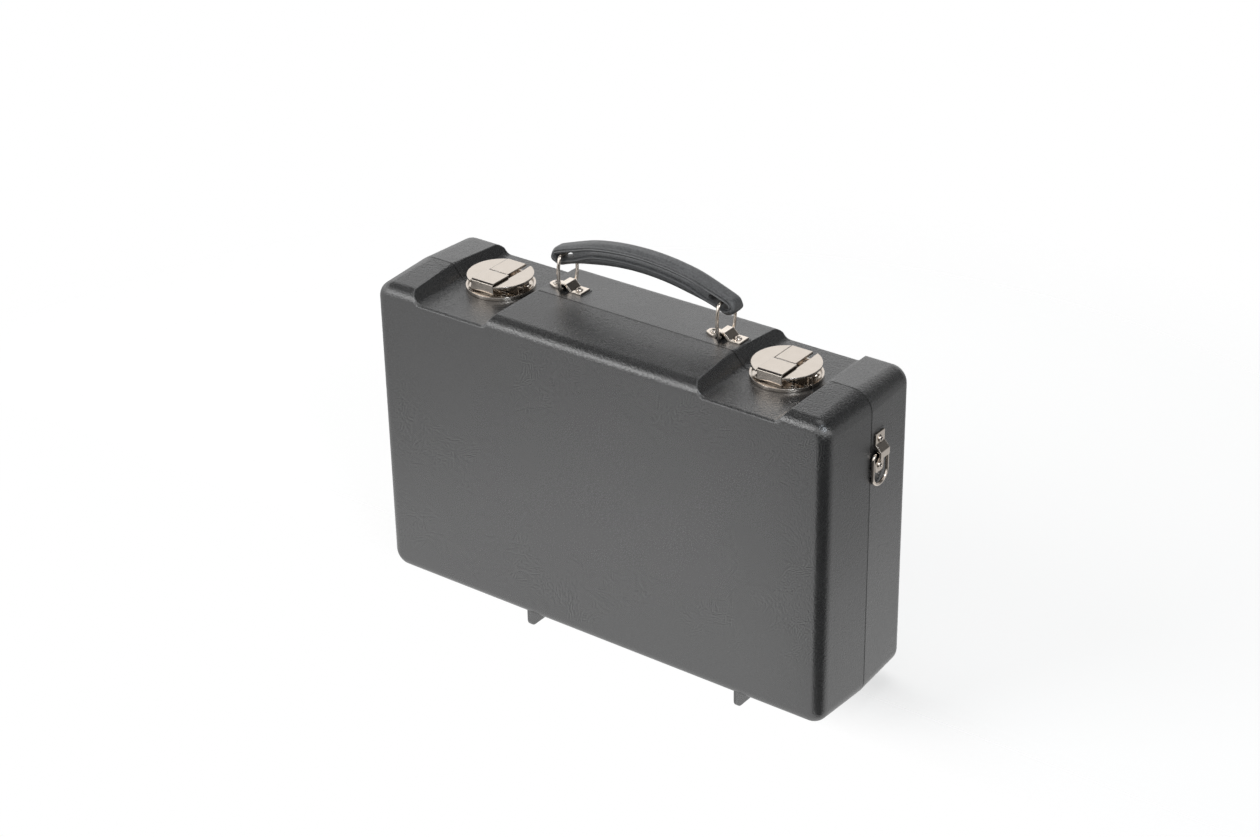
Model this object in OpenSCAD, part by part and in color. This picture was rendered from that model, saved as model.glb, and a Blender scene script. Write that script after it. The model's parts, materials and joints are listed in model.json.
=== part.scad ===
// Moulded two-part carrying case with round draw latches, a padded handle on wire rings,
// strap rings on both ends and a hinge along the bottom edge.
// Case frame used by the modules: X along the length, Y through the thickness with the seam at 0
// (lid towards -Y, body towards +Y), Z up from the underside of the shells at the seam.
// place() moves that frame so that the ribs stand on Z = 0 and the thickness is centred on Y = 0.

/* [Case] */
// Length of the shells at the seam
case_l = 350; // [330:1:440]
// Height of the shells at the seam, without the standing ribs
case_h = 217; // [180:1:280]
// Depth of the lid, from the seam to its face
lid_depth = 46; // [38:1:60]
// Depth of the body, from the seam to its back
body_depth = 49; // [40:1:64]
// Thickness of the moulded walls
wall = 3; // [2.4:0.1:3.8]
// Radius of the four corners of the outline at the seam
corner_r = 13.7; // [11:0.1:18]
// Radius of the edge between the side walls and the large faces
face_r = 8; // [6:0.5:8.5]
// Draft of the side walls in degrees
draft = 2.9; // [1:0.1:3.4]

/* [Latch recesses] */
// Distance from the end of the case to the middle of a latch
latch_inset = 64.5; // [62:0.5:80]
// Depth of the recess below the top of the shells
recess_depth = 9.5; // [8:0.1:11.5]
// Width of the recess, measured halfway down its walls
recess_w = 61.4; // [60:0.1:72]
// Slope of the recess walls in degrees
recess_slope = 50; // [45:1:60]
// Radius at the foot of the recess walls
recess_foot_r = 6; // [4:0.5:7]
// Radius at the top of the recess walls
recess_top_r = 5; // [4.8:0.1:5.4]

/* [Latches] */
// Radius of the round base plate
latch_r = 22.8; // [20.5:0.1:23.5]
// Distance of the middle of the round base behind the seam
latch_back = 6.5; // [5.5:0.1:7.5]
// Thickness of the base plate
latch_plate = 1; // [0.8:0.1:1.2]
// Height of the raised rim of the base plate
latch_rim_h = 2.5; // [2:0.1:2.8]
// Thickness of the hook plate and the lever plate
latch_top_t = 1.4; // [1:0.1:1.6]
// Width of the hook plate over its side arms
hook_w = 17.6; // [16.8:0.1:18.4]
// Width of the lever plate over its side arms
lever_w = 14.8; // [13:0.1:14.9]
// Distance from the middle of the base to the back edge of the lever
lever_reach = 17.6; // [15:0.1:18.5]
// Distance from the middle of the base to the front of the hook
hook_reach = 19.3; // [17:0.1:19.4]
// Radius of the pivot pin
pivot_r = 1.1; // [0.9:0.1:1.2]
// Radius of the link pin
link_r = 1; // [0.8:0.1:1.1]

/* [Handle] */
// Distance between the two handle rings
ring_span = 122; // [104:1:132]
// Distance of the handle's middle plane behind the seam
handle_back = 14; // [13:0.5:22]
// Rise of the middle of the handle above its ends
grip_rise = 12; // [8:0.5:16]
// Width of the padded grip
grip_w = 15; // [13:0.5:16]
// Height of the padded grip
grip_h = 14.6; // [12.5:0.1:17]
// Width of the flat ends of the handle
grip_end_w = 12; // [10:0.5:12]
// Radius of the rounded ends of the handle
grip_end_r = 6.3; // [6:0.1:7]
// Length of the slot in each end of the handle, between its end radii
slot_l = 10.7; // [7:0.1:12]
// Radius of the slot
slot_r = 2.3; // [1.9:0.1:2.6]

/* [Wire rings] */
// Radius of the ring wire
wire_r = 1.1; // [0.9:0.1:1.2]
// Height of a handle ring between the middles of its two bars
ring_h = 23.6; // [20:0.1:28]
// Half length of the handle rings' straight bars
bar_half = 5.6; // [5.4:0.1:6.2]
// Radius of the ring corners
ring_corner_r = 3; // [2.4:0.1:3.6]
// Outward lean of the handle rings' legs in degrees
leg_lean = 17; // [8:1:22]
// Height of a strap ring from the middle of its straight bar to the middle of its round end
strap_ring_h = 21.8; // [20:0.1:26]
// Half width of a strap ring between the middles of its legs
strap_ring_half = 8.2; // [8.2:0.1:9]

/* [Ring brackets] */
// Length of a bracket
bracket_l = 27; // [26:0.5:32]
// Width of a bracket
bracket_w = 10; // [8:0.5:10.5]
// Thickness of the bracket strip
bracket_t = 1.1; // [0.8:0.1:1.3]
// Height of the raised bridge over the wall
bridge_h = 5; // [4.6:0.1:6]
// Distance from the middle of a bracket to its rivets
bracket_hole = 9; // [8.7:0.1:9.6]
// Distance of the strap brackets behind the seam
strap_back = 9; // [9:0.5:22]
// Height of the strap brackets above the underside
strap_z = 174.5; // [130:0.1:176]

/* [Hinges] */
// Distance from the middle of the case to the middle of a hinge
hinge_x = 84; // [80:1:84]
// Length of a hinge
hinge_l = 38; // [30:1:38]
// Width of one hinge leaf from the pin
leaf_w = 15; // [13:0.5:16]
// Thickness of a leaf
leaf_t = 1.2; // [1:0.1:1.4]
// Radius of the hinge knuckles
knuckle_r = 2.4; // [2.1:0.1:2.6]
// Radius of the hinge pin
hinge_pin_r = 1; // [0.8:0.1:1.1]

/* [Standing ribs] */
// Height of the ribs below the shells
rib_h = 9.5; // [7:0.5:14]
// Thickness of a rib
rib_t = 2.4; // [2:0.1:4]
// Place of the left rib along the length
rib_left_x = -58; // [-62:1:-40]
// Place of the right rib along the length
rib_right_x = 107; // [106:1:140]
// Distance from the seam to the inner end of a rib
rib_start = 14; // [13.5:0.5:18]

/* [Lining] */
// Thickness of the lining
lining_t = 4; // [3:0.5:6]

/* [Rivets] */
// Radius of the rivet shanks
rivet_r = 1.5; // [1.3:0.1:1.7]
// Radius of the rivet heads
rivet_head_r = 2.6; // [2.3:0.1:2.8]

/* [Hidden] */

$fn = 48;
form_fn = 56;              // roundness of the moulded forms
lining_fn = 28;            // roundness of the lining forms
wire_sides = 12;           // sides of the ring wire
ring_steps = 5;            // steps of each bend of a ring

// Clearances
pin_fit = 0.05;            // radial clearance of a pin in a part that turns on it
seat_fit = 0.03;           // radial clearance of a pin in the part that holds it
near = 0.35;               // gap between pieces that pass or trap each other
rivet_fit = 0.1;           // radial clearance of a rivet in its holes
over = 1;                  // how far a cutting form runs past the surface it cuts

// Shells
slope = tan(draft);
seam_y = (lid_depth - body_depth) / 2;
tongue_t = 1.3;            // thickness of the tongue that enters the lid
tongue_h = 2.5;            // how far the tongue enters the lid
tongue_fit = 0.3;          // gap between the tongue and the lid
tongue_back = 0.1;         // inner face of the tongue set back from the inside of the walls
pad_drop = 0.35;           // seats of the brackets below the top of the shells
strap_pad_drop = 0.2;      // seats of the strap brackets inside the ends at the seam
pad_margin = 1;            // width of a seat around its bracket
recess_chamfer = 1.2;      // chamfer where a recess meets a large face
rib_gap = 3.4;             // distance from a large face to the outer end of a rib
rib_corner_r = 5.5;          // rounded lower outer corner of a rib
rib_foot_r = 1.5;          // rounded lower inner corner of a rib

// Rivets
rivet_head_h = 1;
rivet_bore_r = 1.1;
rivet_tail_r = 2.3;        // closed end inside the wall
rivet_tail_h = 0.7;

// Latches
latch_x = case_l / 2 - latch_inset;
latch_floor = case_h - recess_depth;
latch_side_gap = 0.6;      // half the slot between the base plate and the strike plate
rim_w = 1.4;               // width of the raised rim
pivot_y = latch_back - 1.9;  // pivot pin, on which the lever turns
pivot_z = latch_floor + 4.6;
link_y = pivot_y + 6.6;    // link pin, on which the lever carries the hook
link_z = pivot_z - 0.4;
wing_r = latch_r - 1;      // flat wings on both sides of the band
wing_t = 1.2;
wing_top = latch_floor + recess_depth - 0.1;
band_top = wing_top + 1.5; // top of the hook plate and the lever plate
cheek_t = 1;
cheek_x = hook_w / 2 + 0.6;  // inner faces of the cheeks, clear of the hook's arms
arm_t = 1;                 // thickness of the hook's arms
lever_arm_t = 1.2;
band_split = pivot_y;      // slit between the hook plate and the lever plate
band_slit = 0.8;
flange_z = latch_floor + 3.5;  // lower edge of the hook's front flange
ear_x = 17.2;              // ears that hold the ends of the pivot pin
ear_t = 1;
ear_w = 4.4;
ear_wall = 0.8;            // metal of the ears above the pivot pin
pivot_half = 19;
pivot_boss = 1.1;          // metal round the pivot pin
link_boss = 0.9;           // metal round the link pin
catch_h = 1.8;             // catch ridge above the strike plate
catch_t = 1.6;
catch_gap = 0.6;           // gap between the catch ridge and the hook's flange
base_hole_y = latch_r - 13.8;  // rivets of the base behind the middle of the disc
base_rim_x = sqrt(pow(latch_r - rim_w, 2) - pow(base_hole_y, 2));  // inside of the rim beside those rivets
base_hole_x = (cheek_x + cheek_t + base_rim_x) / 2;
strike_hole_y = 6.5;       // rivets of the strike plate in front of the seam
strike_hole_edge = 4.7;    // rivets of the strike plate inside the edge of the disc
strike_hole_x = sqrt(pow(latch_r - strike_hole_edge, 2) - pow(latch_back + strike_hole_y, 2));

// Rings and brackets
ring_x = ring_span / 2;
handle_seat = case_h - pad_drop;
strap_seat = case_l / 2 - strap_pad_drop;
bar_z = wire_r + near;     // middle of a ring's lower bar above its seat
leg_r = (ring_h / 2 - ring_corner_r * (1 - sin(leg_lean))) / sin(leg_lean);

// Handle
eye_x = ring_x + 3.2;
eye_z = handle_seat + bar_z + ring_h - 2;
arch_r = (eye_x * eye_x + grip_rise * grip_rise) / (2 * grip_rise);
arch_z = eye_z + grip_rise - arch_r;
neck_x = eye_x - slot_l;   // inner end of the slot
eye_dir = atan2(arch_height(eye_x) - arch_height(neck_x), slot_l);
grip_shoulder = 4;         // length over which the grip narrows to its end
grip_corner_r = 5.5;       // rounding of the padded section
grip_end_corner_r = 3.5;   // rounding of the end section
core_w = 8;                // section of the core inside the grip
core_h = 3;
core_eye_r = slot_r + 1.9;
core_fit = 0.2;            // clearance of the core in the grip

// Hinges
pin_z = -(knuckle_r + 0.5);
hinge_seat = -0.1;         // seats of the leaves below the underside at the seam
knuckles = 5;              // knuckles of both leaves on one pin
knuckle_gap = 0.3;
leaf_hole_x = 12;          // rivets of a leaf from the middle of the hinge
leaf_hole_y = 9.5;         // rivets of a leaf from the pin
leaf_start = knuckle_r + 0.4;  // inner edge of a leaf's plate

module place() {
    translate([0, seam_y, rib_h]) children();
}

// ---------- outlines ----------

function arc(cx, cy, r, from, to, steps) =
    [for (i = [0:steps]) let (a = from + (to - from) * i / steps) [cx + r * cos(a), cy + r * sin(a)]];

function mirrored(points) =
    [for (i = [len(points) - 1:-1:0]) [-points[i][0], points[i][1]]];

// Right half of a recess outline, from its floor up over the rounded shoulder.
// grow moves the whole outline into the material.
function recess_half(grow) =
    let (top = case_h - grow,
         foot = case_h - recess_depth - grow,
         foot_r = recess_foot_r + grow,
         top_r = max(recess_top_r - grow, 0.6),
         middle = recess_w / 2 + grow / sin(recess_slope),
         run = recess_depth / 2 / tan(recess_slope),
         foot_x = middle - run - foot_r * tan(recess_slope / 2),
         top_x = middle + run + top_r * tan(recess_slope / 2))
    concat(arc(foot_x, foot + foot_r, foot_r, -90, recess_slope - 90, 8),
           arc(top_x, top - top_r, top_r, recess_slope + 90, 90, 8),
           [[top_x, case_h + 10]]);

module recess_outline(grow) {
    half = recess_half(grow);
    for (side = [-1, 1])
        translate([side * latch_x, 0]) polygon(concat(mirrored(half), half));
}

module rounded_rect(w, h, r) {
    for (x = [-1, 1], y = [-1, 1])
        translate([x * (w / 2 - r), y * (h / 2 - r)]) circle(r);
    square([w - 2 * r, h], center = true);
    square([w, h - 2 * r], center = true);
}

// Outline of the case at the seam, moved inwards by inset
module seam_outline(inset) {
    difference() {
        translate([0, case_h / 2])
            rounded_rect(case_l - 2 * inset, case_h - 2 * inset, corner_r - inset);
        recess_outline(inset);
    }
}

// Extrudes an outline drawn in X and Z towards +Y, from y0 to y1
module along_y(y0, y1) {
    translate([0, y1, 0]) rotate([90, 0, 0]) linear_extrude(y1 - y0) children();
}

// Extrudes an outline drawn in Y and Z along X, from x0 to x1
module along_x(x0, x1) {
    translate([x0, 0, 0]) rotate([90, 0, 90]) linear_extrude(x1 - x0) children();
}

// ---------- moulded shells ----------

// Drafted block with rounded corners and a rounded face towards +Y, moved inwards by inset.
// It starts at y = start, where its size still follows the draft.
module half_form(depth, inset, face_round, start, fn) {
    half_w = case_l / 2 - inset;
    half_h = case_h / 2 - inset;
    seam_r = corner_r - inset;
    shrink = slope * (depth - face_round) + face_round / cos(draft);
    disc_r = max(seam_r - slope * depth, face_round);
    translate([0, 0, case_h / 2])
        hull()
            for (x = [-1, 1], z = [-1, 1]) {
                translate([x * (half_w - seam_r), start, z * (half_h - seam_r)])
                    rotate([-90, 0, 0])
                        cylinder(r1 = seam_r - slope * start, r2 = seam_r - slope * (start + 1), h = 1,
                                 $fn = fn);
                translate([x * (half_w - shrink - disc_r + face_round), depth - face_round,
                           z * (half_h - shrink - disc_r + face_round)])
                    rotate([-90, 0, 0])
                        rotate_extrude($fn = fn)
                            intersection() {
                                translate([disc_r - face_round, 0]) circle(face_round, $fn = fn);
                                translate([0, -face_round]) square([disc_r, 2 * face_round]);
                            }
            }
}

// Widened mouth of one recess at a large face
module recess_mouth(depth) {
    straight = recess_half(0);
    wide = recess_half(recess_chamfer);
    hull() {
        along_y(depth - recess_chamfer, depth - recess_chamfer + 0.1)
            polygon(concat(mirrored(straight), straight));
        along_y(depth, depth + over) polygon(concat(mirrored(wide), wide));
    }
}

// Ribs that the case stands on, moulded under one half
module standing_ribs(depth) {
    end = depth - rib_gap;
    past = max(face_r - rib_gap, 0);  // how far a rib runs under the rounded edge
    rise = face_r - sqrt(face_r * face_r - past * past);
    outline = concat([[rib_start, wall / 2]],
                     arc(rib_start + rib_foot_r, rib_foot_r - rib_h, rib_foot_r, 180, 270, 4),
                     arc(end - rib_corner_r, rib_corner_r - rib_h, rib_corner_r, 270, 360, 8),
                     [[end, wall / 2 + end * slope + rise],
                      [end - past, wall / 2 + (end - past) * slope]]);
    for (x = [rib_left_x, rib_right_x])
        along_x(x - rib_t / 2, x + rib_t / 2) polygon(outline);
}

// Flat seat under the hinge leaves
module hinge_pads() {
    for (side = [-1, 1])
        translate([side * hinge_x - hinge_l / 2 - pad_margin, leaf_start, hinge_seat])
            cube([hinge_l + 2 * pad_margin, leaf_w - leaf_start + pad_margin, wall / 2 - hinge_seat]);
}

module half_shell(depth) {
    difference() {
        union() {
            difference() {
                half_form(depth, 0, face_r, 0, form_fn);
                along_y(-over, depth + over) recess_outline(0);
                for (side = [-1, 1])
                    translate([side * latch_x, 0, 0]) recess_mouth(depth);
            }
            standing_ribs(depth);
            hinge_pads();
        }
        difference() {
            half_form(depth - wall, wall, face_r - wall, -over, form_fn);
            along_y(-2 * over, depth + over) recess_outline(wall);
        }
        at_hinge_rivets() rivet_hole();
    }
}

// Raised seats that make the drafted walls level under the ring brackets
module bracket_pads() {
    length = bracket_l + 2 * pad_margin;
    width = bracket_w + 2 * pad_margin;
    for (side = [-1, 1]) {
        translate([side * ring_x - length / 2, handle_back - width / 2, handle_seat - wall / 2])
            cube([length, width, wall / 2]);
        translate([side * (strap_seat - wall / 4) - wall / 4, strap_back - width / 2, strap_z - length / 2])
            cube([wall / 2, width, length]);
    }
}

module body_shell() {
    color("#4c4c4e")
        place()
            difference() {
                union() {
                    half_shell(body_depth);
                    bracket_pads();
                    along_y(-tongue_h, over)
                        difference() {
                            seam_outline(wall - tongue_t);
                            seam_outline(wall - tongue_back);
                        }
                }
                at_handle_rivets() {
                    rivet_hole();
                    tail_seat(handle_grip_t);
                }
                at_strap_rivets() {
                    rivet_hole();
                    tail_seat(strap_grip_t);
                }
                at_latch_rivets(1) rivet_hole();
            }
}

module lid_shell() {
    color("#4c4c4e")
        place()
            mirror([0, 1, 0])
                difference() {
                    half_shell(lid_depth);
                    along_y(-over, tongue_h + tongue_fit) seam_outline(wall - tongue_t - tongue_fit);
                    at_latch_rivets(-1) rivet_hole();
                }
}

// ---------- linings ----------

module lining(depth, start) {
    outer = wall + near;
    inner = outer + lining_t;
    difference() {
        half_form(depth - outer, outer, face_r - wall, start, lining_fn);
        difference() {
            half_form(depth - inner, inner, face_r - wall - 1, start - over, lining_fn);
            along_y(-over, depth) recess_outline(inner);
        }
        along_y(-over, depth) recess_outline(outer);
    }
}

// Room for the inner ends of the rivets
module tail_pocket() {
    translate([0, 0, -wall - near - rivet_tail_h - 1.6]) cylinder(r = rivet_tail_r + 0.6, h = 4);
}

module body_lining() {
    color("#2b2d33")
        place()
            difference() {
                lining(body_depth, 0.5);
                at_handle_rivets() tail_pocket();
                at_strap_rivets() tail_pocket();
                at_latch_rivets(1) tail_pocket();
                at_hinge_rivets() tail_pocket();
            }
}

module lid_lining() {
    color("#2b2d33")
        place()
            mirror([0, 1, 0])
                difference() {
                    lining(lid_depth, tongue_h + 0.5);
                    at_latch_rivets(-1) tail_pocket();
                    at_hinge_rivets() tail_pocket();
                }
}

// ---------- rivets ----------
// Every rivet is drawn with its seat at z = 0 and its head towards +z.

module at_handle_rivets() {
    for (side = [-1, 1], end = [-1, 1])
        translate([side * ring_x + end * bracket_hole, handle_back, handle_seat]) children();
}

module at_strap_rivets() {
    for (side = [-1, 1], end = [-1, 1])
        translate([side * strap_seat, strap_back, strap_z + end * bracket_hole])
            rotate([0, side * 90, 0]) children();
}

// half is 1 for the bases on the body and -1 for the strikes on the lid
module at_latch_rivets(half) {
    spread = half > 0 ? base_hole_x : strike_hole_x;
    y = half > 0 ? latch_back + base_hole_y : strike_hole_y;
    for (side = [-1, 1], end = [-1, 1])
        translate([side * latch_x + end * spread, y, latch_floor]) children();
}

module at_hinge_rivets() {
    for (side = [-1, 1], end = [-1, 1])
        translate([side * hinge_x + end * leaf_hole_x, leaf_hole_y, hinge_seat])
            rotate([180, 0, 0]) children();
}

module rivet_hole() {
    translate([0, 0, -wall - 3]) cylinder(r = rivet_r + rivet_fit, h = wall + 8);
}

// Level seat for the closed end of a rivet, where the inside of the wall is not level
module tail_seat(grip) {
    translate([0, 0, -grip - 4]) cylinder(r = rivet_tail_r + rivet_fit, h = 4);
}

// Hollow rivet: plate is the thickness under its head, grip the wall thickness under the seat
module rivet(plate, grip) {
    difference() {
        union() {
            translate([0, 0, plate]) cylinder(r1 = rivet_head_r, r2 = rivet_head_r - 0.7, h = rivet_head_h);
            translate([0, 0, -grip - rivet_tail_h]) cylinder(r = rivet_tail_r, h = rivet_tail_h);
            translate([0, 0, -grip - rivet_tail_h]) cylinder(r = rivet_r, h = grip + plate + rivet_tail_h);
        }
        translate([0, 0, -grip - wall]) cylinder(r = rivet_bore_r, h = grip + plate + 2 * wall);
    }
}

// Wall thickness under a seat that lies drop below the undrafted wall, at distance y from the seam
function drafted_grip(y, drop) = wall + (y + rivet_tail_r) * slope - drop + 0.05;
handle_grip_t = drafted_grip(handle_back, pad_drop);
strap_grip_t = drafted_grip(strap_back, strap_pad_drop);

module handle_rivets() {
    color("silver")
        place() at_handle_rivets() rivet(bracket_t, handle_grip_t);
}

module strap_rivets() {
    color("silver")
        place() at_strap_rivets() rivet(bracket_t, strap_grip_t);
}

module latch_rivets() {
    color("silver") place() at_latch_rivets(1) rivet(latch_plate, wall);
}

module strike_rivets() {
    color("silver") place() mirror([0, 1, 0]) at_latch_rivets(-1) rivet(latch_plate, wall);
}

module hinge_body_rivets() {
    color("silver") place() at_hinge_rivets() rivet(leaf_t, drafted_grip(leaf_hole_y, hinge_seat));
}

module hinge_lid_rivets() {
    color("silver")
        place() mirror([0, 1, 0]) at_hinge_rivets() rivet(leaf_t, drafted_grip(leaf_hole_y, hinge_seat));
}

// ---------- wire rings and their brackets ----------

// Bends of one side of a ring, from its straight lower bar upwards, each as
// [middle y, middle z, radius, first direction, last direction, first step].
// The first step is 1 for a bend that carries on from the one before.
handle_bends = [
    [bar_half, ring_corner_r, ring_corner_r, -90, -leg_lean, 0],
    [bar_half + (ring_corner_r - leg_r) * cos(leg_lean), ring_h / 2, leg_r, -leg_lean, leg_lean, 1],
    [bar_half, ring_h - ring_corner_r, ring_corner_r, leg_lean, 90, 1]];
strap_bends = [
    [strap_ring_half - ring_corner_r, ring_corner_r, ring_corner_r, -90, 0, 0],
    [0, strap_ring_h - strap_ring_half, strap_ring_half, 0, 90 * ring_steps / (ring_steps + 0.5), 0]];

// Middle line of one side of a ring as [y, z, direction of the outside in degrees]
function ring_side(bends) =
    [for (bend = bends, i = [bend[5]:ring_steps])
        let (a = bend[3] + (bend[4] - bend[3]) * i / ring_steps)
        [bend[0] + bend[2] * cos(a), bend[1] + bend[2] * sin(a), a]];

// Closed wire ring in the Y-Z plane, with its lower bar along Y through the origin
module wire_ring(bends) {
    side = ring_side(bends);
    path = concat(side, [for (i = [len(side) - 1:-1:0]) [-side[i][0], side[i][1], 180 - side[i][2]]]);
    count = len(path);
    points = [for (p = path, i = [0:wire_sides - 1])
        let (b = 360 * i / wire_sides)
        [wire_r * sin(b), p[0] + wire_r * cos(b) * cos(p[2]), p[1] + wire_r * cos(b) * sin(p[2])]];
    faces = [for (i = [0:count - 1], j = [0:wire_sides - 1], half = [0, 1])
        let (here = i * wire_sides, next = (i + 1) % count * wire_sides, up = (j + 1) % wire_sides)
        half == 0 ? [here + j, here + up, next + up] : [here + j, next + up, next + j]];
    polyhedron(points, faces);
}

module scale_y(side) {
    if (side < 0) mirror([0, 1, 0]) children();
    else children();
}

// Bracket strip on its seat at z = 0: tab, peaked bridge over the ring's bar, square tab.
// The first tab narrows by taper to its end.
module ring_bracket(taper) {
    foot = 6.5;
    peak = 2.2;
    rise = bridge_h - bracket_t;
    side = bracket_t / sin(atan2(rise, foot - peak));
    half = bracket_l / 2;
    strip = [[-half, 0], [side - foot, 0], [side - peak - bracket_t * 0.4, bridge_h - bracket_t],
             [peak + bracket_t * 0.4 - side, bridge_h - bracket_t], [foot - side, 0], [half, 0],
             [half, bracket_t], [foot, bracket_t], [peak, bridge_h], [-peak, bridge_h],
             [-foot, bracket_t], [-half, bracket_t]];
    end_w = bracket_w / 2 - taper;
    plan = [[-half + 5.5, -bracket_w / 2], [half, -bracket_w / 2], [half, bracket_w / 2],
            [-half + 5.5, bracket_w / 2], [-half + 1, end_w], [-half, end_w - 1.4],
            [-half, 1.4 - end_w], [-half + 1, -end_w]];
    difference() {
        intersection() {
            along_y(-bracket_w / 2, bracket_w / 2) polygon(strip);
            linear_extrude(bridge_h + over) polygon(plan);
        }
        for (end = [-1, 1])
            translate([end * bracket_hole, 0, -over])
                cylinder(r = rivet_r + rivet_fit, h = bracket_t + 2 * over);
    }
}

module handle_bracket(side) {
    color("silver")
        place() translate([side * ring_x, handle_back, handle_seat]) ring_bracket(2);
}

module handle_ring(side) {
    color("silver")
        place() translate([side * ring_x, handle_back, handle_seat + bar_z]) wire_ring(handle_bends);
}

// The strap brackets stand upright on the ends
module strap_bracket(side) {
    color("silver")
        place()
            translate([side * strap_seat, strap_back, strap_z])
                if (side > 0) rotate([0, 90, 0]) mirror([1, 0, 0]) ring_bracket(0.4);
                else rotate([0, -90, 0]) ring_bracket(0.4);
}

module strap_ring(side) {
    color("silver")
        place()
            translate([side * (strap_seat + bar_z), strap_back, strap_z])
                mirror([0, 0, 1]) wire_ring(strap_bends);
}

// ---------- latches ----------
// at_latch() puts the middle of the case frame's seam line on the latch, side -1 left and 1 right.

module at_latch(side) {
    place() translate([side * latch_x, 0, 0]) children();
}

// Round plate with a raised rim on the recess floor, cut to one side of the seam
module latch_disc(half) {
    intersection() {
        translate([0, latch_back, latch_floor])
            difference() {
                cylinder(r = latch_r, h = latch_rim_h);
                translate([0, 0, latch_plate]) cylinder(r = latch_r - rim_w, h = latch_rim_h);
            }
        translate([-2 * latch_r, half > 0 ? latch_side_gap : -2 * latch_r - latch_side_gap, latch_floor])
            cube([4 * latch_r, 2 * latch_r, latch_rim_h]);
    }
}

module latch_rivet_holes(half) {
    translate([-latch_x, 0, 0])
        scale_y(half) at_latch_rivets(half) rivet_hole();
}

// Base: plate, two cheeks that carry the pivot pin, and the wings folded outwards from the cheeks
module latch_base(side) {
    cheek_top = wing_top - wing_t;
    back = latch_back + lever_reach - 2;
    color("silver")
        at_latch(side)
            difference() {
                union() {
                    latch_disc(1);
                    for (x = [-1, 1]) {
                        translate([x > 0 ? cheek_x : -cheek_x - cheek_t, latch_side_gap, latch_floor])
                            cube([cheek_t, back, cheek_top - latch_floor + wing_t / 2]);
                        translate([x > 0 ? ear_x : -ear_x - ear_t, pivot_y - ear_w / 2, latch_floor])
                            cube([ear_t, ear_w, pivot_z - latch_floor + pivot_r + ear_wall]);
                    }
                    translate([0, 0, cheek_top])
                        linear_extrude(wing_t)
                            difference() {
                                translate([0, latch_back]) circle(wing_r);
                                translate([-cheek_x, -2 * wing_r]) square([2 * cheek_x, 4 * wing_r]);
                            }
                }
                pin_bore(pivot_y, pivot_z, pivot_r + seat_fit, pivot_half + over);
                latch_rivet_holes(1);
            }
}

module pin_bore(y, z, r, half) {
    translate([-half, y, z]) rotate([0, 90, 0]) cylinder(r = r, h = 2 * half);
}

// Strike: the lid's part of the round plate, with the catch ridge behind the hook's flange
module latch_strike(side) {
    catch_half = hook_w / 2 - 1;
    color("silver")
        at_latch(side)
            difference() {
                union() {
                    latch_disc(-1);
                    translate([-catch_half, latch_back - hook_reach + latch_top_t + catch_gap, latch_floor])
                        cube([2 * catch_half, catch_t, catch_h + latch_plate]);
                }
                latch_rivet_holes(-1);
            }
}

module latch_pivot(side) {
    color("silver")
        at_latch(side)
            intersection() {
                pin_bore(pivot_y, pivot_z, pivot_r, pivot_half);
                translate([0, pivot_y, pivot_z]) sphere(pivot_half, $fn = 96);
            }
}

// Lever: plate behind the slit, with two arms down to the pivot pin and the link pin
module latch_lever(side) {
    front = band_split + band_slit / 2;
    back = latch_back + lever_reach;
    boss_r = pivot_r + pivot_boss;
    arm = [[pivot_y - boss_r * 0.85, pivot_z + boss_r * 0.5], [front, band_top - latch_top_t / 2],
           [link_y + 3, band_top - latch_top_t / 2], [link_y + 1.7, link_z + 0.8],
           [link_y, link_z - link_r - link_boss], [pivot_y, pivot_z - boss_r]];
    color("gainsboro")
        at_latch(side)
            difference() {
                union() {
                    translate([-lever_w / 2, front, band_top - latch_top_t])
                        cube([lever_w, back - front, latch_top_t]);
                    for (x = [-lever_w / 2, lever_w / 2 - lever_arm_t])
                        along_x(x, x + lever_arm_t) {
                            polygon(arm);
                            translate([pivot_y, pivot_z]) circle(boss_r);
                            translate([link_y, link_z]) circle(link_r + link_boss);
                        }
                }
                pin_bore(pivot_y, pivot_z, pivot_r + pin_fit, lever_w);
                pin_bore(link_y, link_z, link_r + seat_fit, lever_w);
            }
}

module latch_link_pin(side) {
    color("silver") at_latch(side) pin_bore(link_y, link_z, link_r, hook_w / 2 + 0.2);
}

// Hook: plate in front of the slit, front flange over the strike, arms back to the link pin.
// Its back edge is bevelled underneath, so that the rising lever passes it.
module latch_hook(side) {
    front = latch_back - hook_reach;
    back = band_split - band_slit / 2;
    bottom = band_top - latch_top_t;
    arm_low = pivot_z + pivot_r + near;
    plate = [[front + 1, band_top], [front, band_top - 1], [front, flange_z],
             [front + latch_top_t, flange_z], [front + latch_top_t, bottom - 0.6],
             [front + latch_top_t + 0.6, bottom], [back - latch_top_t, bottom], [back, band_top]];
    arm = [[front + latch_top_t / 2, bottom + latch_top_t / 2], [front + latch_top_t / 2, arm_low],
           [pivot_y + 2, arm_low], [link_y - 1.6, link_z - 1], [link_y + 1.9, link_z],
           [link_y + 1.2, link_z + 1.6], [back, bottom], [back - latch_top_t / 2, bottom + latch_top_t / 2]];
    color("gainsboro")
        at_latch(side)
            difference() {
                union() {
                    along_x(-hook_w / 2, hook_w / 2) polygon(plate);
                    for (x = [-hook_w / 2, hook_w / 2 - arm_t])
                        along_x(x, x + arm_t) {
                            polygon(arm);
                            translate([link_y, link_z]) circle(link_r + link_boss);
                        }
                }
                pin_bore(link_y, link_z, link_r + pin_fit, hook_w);
            }
}

// ---------- hinges ----------

// Knuckles with the given parity, centred on the pin
module knuckles(odd) {
    pitch = hinge_l / knuckles;
    for (i = [0:knuckles - 1])
        if (i % 2 == odd)
            translate([-hinge_l / 2 + i * pitch + knuckle_gap / 2, 0, 0])
                children();
}

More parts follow.
